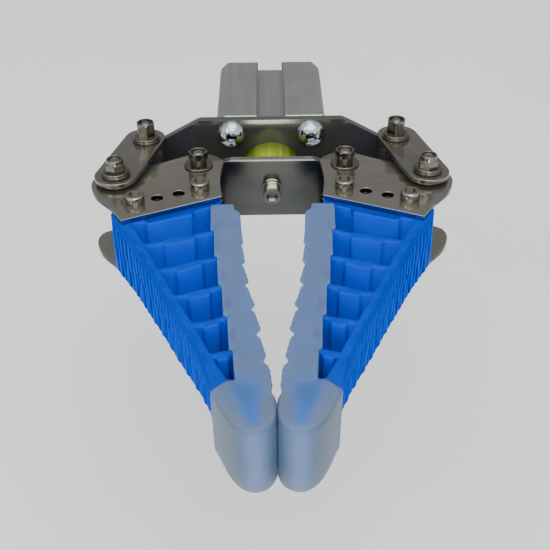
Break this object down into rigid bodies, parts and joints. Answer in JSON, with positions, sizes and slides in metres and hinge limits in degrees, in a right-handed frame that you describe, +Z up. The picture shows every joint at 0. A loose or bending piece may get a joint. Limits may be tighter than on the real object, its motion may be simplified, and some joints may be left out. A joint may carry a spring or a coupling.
{
  "type": "soft robotic gripper",
  "caption": "Soft robotic gripper with curved adaptive ribbed fingers and silicone grip skins, opened through pivoting links and a sliding crosshead by a compact pneumatic cylinder.",
  "frame": {"origin": "centre of the cylinder's rear mounting face, on the cylinder's axis", "axes": "+Y along the cylinder's axis towards the machine that holds it, the fingers point along -Y; +X to the right seen from above; +Z up, along the pivots"},
  "size_m": [0.1624, 0.2756, 0.0553],
  "materials": {
    "anodised_body": "satin anodised",
    "turned_aluminium": "turned",
    "spring_steel": "blackened",
    "bronze": "sintered",
    "black_rubber": "matte",
    "polished_steel": "polished sheet",
    "bright_chrome": "polished",
    "zinc_hardware": "bright zinc plated",
    "pivot_sleeve_steel": "ground",
    "yellow_polyurethane": "glossy",
    "blue_flexible_plastic": "printed satin",
    "translucent_silicone": "translucent matte"
  },
  "bodies": {
    "base": {"cylinder_body": "anodised_body", "rear_cap": "turned_aluminium", "front_head": "turned_aluminium", "cap_circlips": "spring_steel", "rod_bush": "bronze", "rod_wiper": "black_rubber", "rear_bracket": "polished_steel", "bracket_bolts": "bright_chrome", "rod_bumper": "yellow_polyurethane"},
    "crosshead": {"crosshead": "polished_steel", "crosshead_washer": "zinc_hardware", "crosshead_screw": "zinc_hardware", "piston_rod": "bright_chrome", "piston": "turned_aluminium", "piston_seal": "black_rubber"},
    "finger_right": {"finger_plate_top_right": "polished_steel", "finger_plate_bottom_right": "polished_steel", "finger_core_right": "blue_flexible_plastic", "clamp_sleeves_right": "pivot_sleeve_steel", "finger_skin_right": "translucent_silicone", "finger_screws_right": "zinc_hardware", "finger_screw_nuts_right": "zinc_hardware", "inner_pivot_sleeve_right": "pivot_sleeve_steel", "inner_pivot_bolt_right": "zinc_hardware", "inner_pivot_nut_right": "zinc_hardware", "inner_pivot_washers_right": "zinc_hardware", "outer_pivot_spacer_right": "pivot_sleeve_steel", "outer_pivot_bolt_right": "zinc_hardware", "outer_pivot_nut_right": "zinc_hardware", "outer_pivot_washers_right": "zinc_hardware"},
    "finger_left": {"finger_plate_top_left": "polished_steel", "finger_plate_bottom_left": "polished_steel", "finger_core_left": "blue_flexible_plastic", "clamp_sleeves_left": "pivot_sleeve_steel", "finger_skin_left": "translucent_silicone", "finger_screws_left": "zinc_hardware", "finger_screw_nuts_left": "zinc_hardware", "inner_pivot_sleeve_left": "pivot_sleeve_steel", "inner_pivot_bolt_left": "zinc_hardware", "inner_pivot_nut_left": "zinc_hardware", "inner_pivot_washers_left": "zinc_hardware", "outer_pivot_spacer_left": "pivot_sleeve_steel", "outer_pivot_bolt_left": "zinc_hardware", "outer_pivot_nut_left": "zinc_hardware", "outer_pivot_washers_left": "zinc_hardware"},
    "link_right": {"link_top_right": "polished_steel", "link_bottom_right": "polished_steel", "rear_pivot_sleeve_right": "pivot_sleeve_steel", "rear_pivot_bolt_right": "zinc_hardware", "rear_pivot_nut_right": "zinc_hardware", "rear_pivot_washers_right": "zinc_hardware"},
    "link_left": {"link_top_left": "polished_steel", "link_bottom_left": "polished_steel", "rear_pivot_sleeve_left": "pivot_sleeve_steel", "rear_pivot_bolt_left": "zinc_hardware", "rear_pivot_nut_left": "zinc_hardware", "rear_pivot_washers_left": "zinc_hardware"}
  },
  "joints": [
    {"name": "crosshead_slide", "type": "slide", "parent": "base", "child": "crosshead", "axis": [0, -1, 0], "range_m": [0, 0.012]},
    {"name": "finger_hinge_right", "type": "hinge", "parent": "crosshead", "child": "finger_right", "pos_m": [0.0337, -0.098, 0], "axis": [0, 0, 1], "range_deg": [0, 20.1]},
    {"name": "finger_hinge_left", "type": "hinge", "parent": "crosshead", "child": "finger_left", "pos_m": [-0.0337, -0.098, 0], "axis": [0, 0, -1], "range_deg": [0, 20.1]},
    {"name": "link_hinge_right", "type": "hinge", "parent": "base", "child": "link_right", "pos_m": [0.0592, -0.0785, 0], "axis": [0, 0, 1], "range_deg": [0, 5.8]},
    {"name": "link_hinge_left", "type": "hinge", "parent": "base", "child": "link_left", "pos_m": [-0.0592, -0.0785, 0], "axis": [0, 0, -1], "range_deg": [0, 5.8]}
  ],
  "couplings": [
    {"joint": "finger_hinge_right", "follows": "crosshead_slide", "rad_per_m": 28.9},
    {"joint": "finger_hinge_left", "follows": "crosshead_slide", "rad_per_m": 28.9},
    {"joint": "link_hinge_right", "follows": "crosshead_slide", "rad_per_m": 8},
    {"joint": "link_hinge_left", "follows": "crosshead_slide", "rad_per_m": 8}
  ]
}
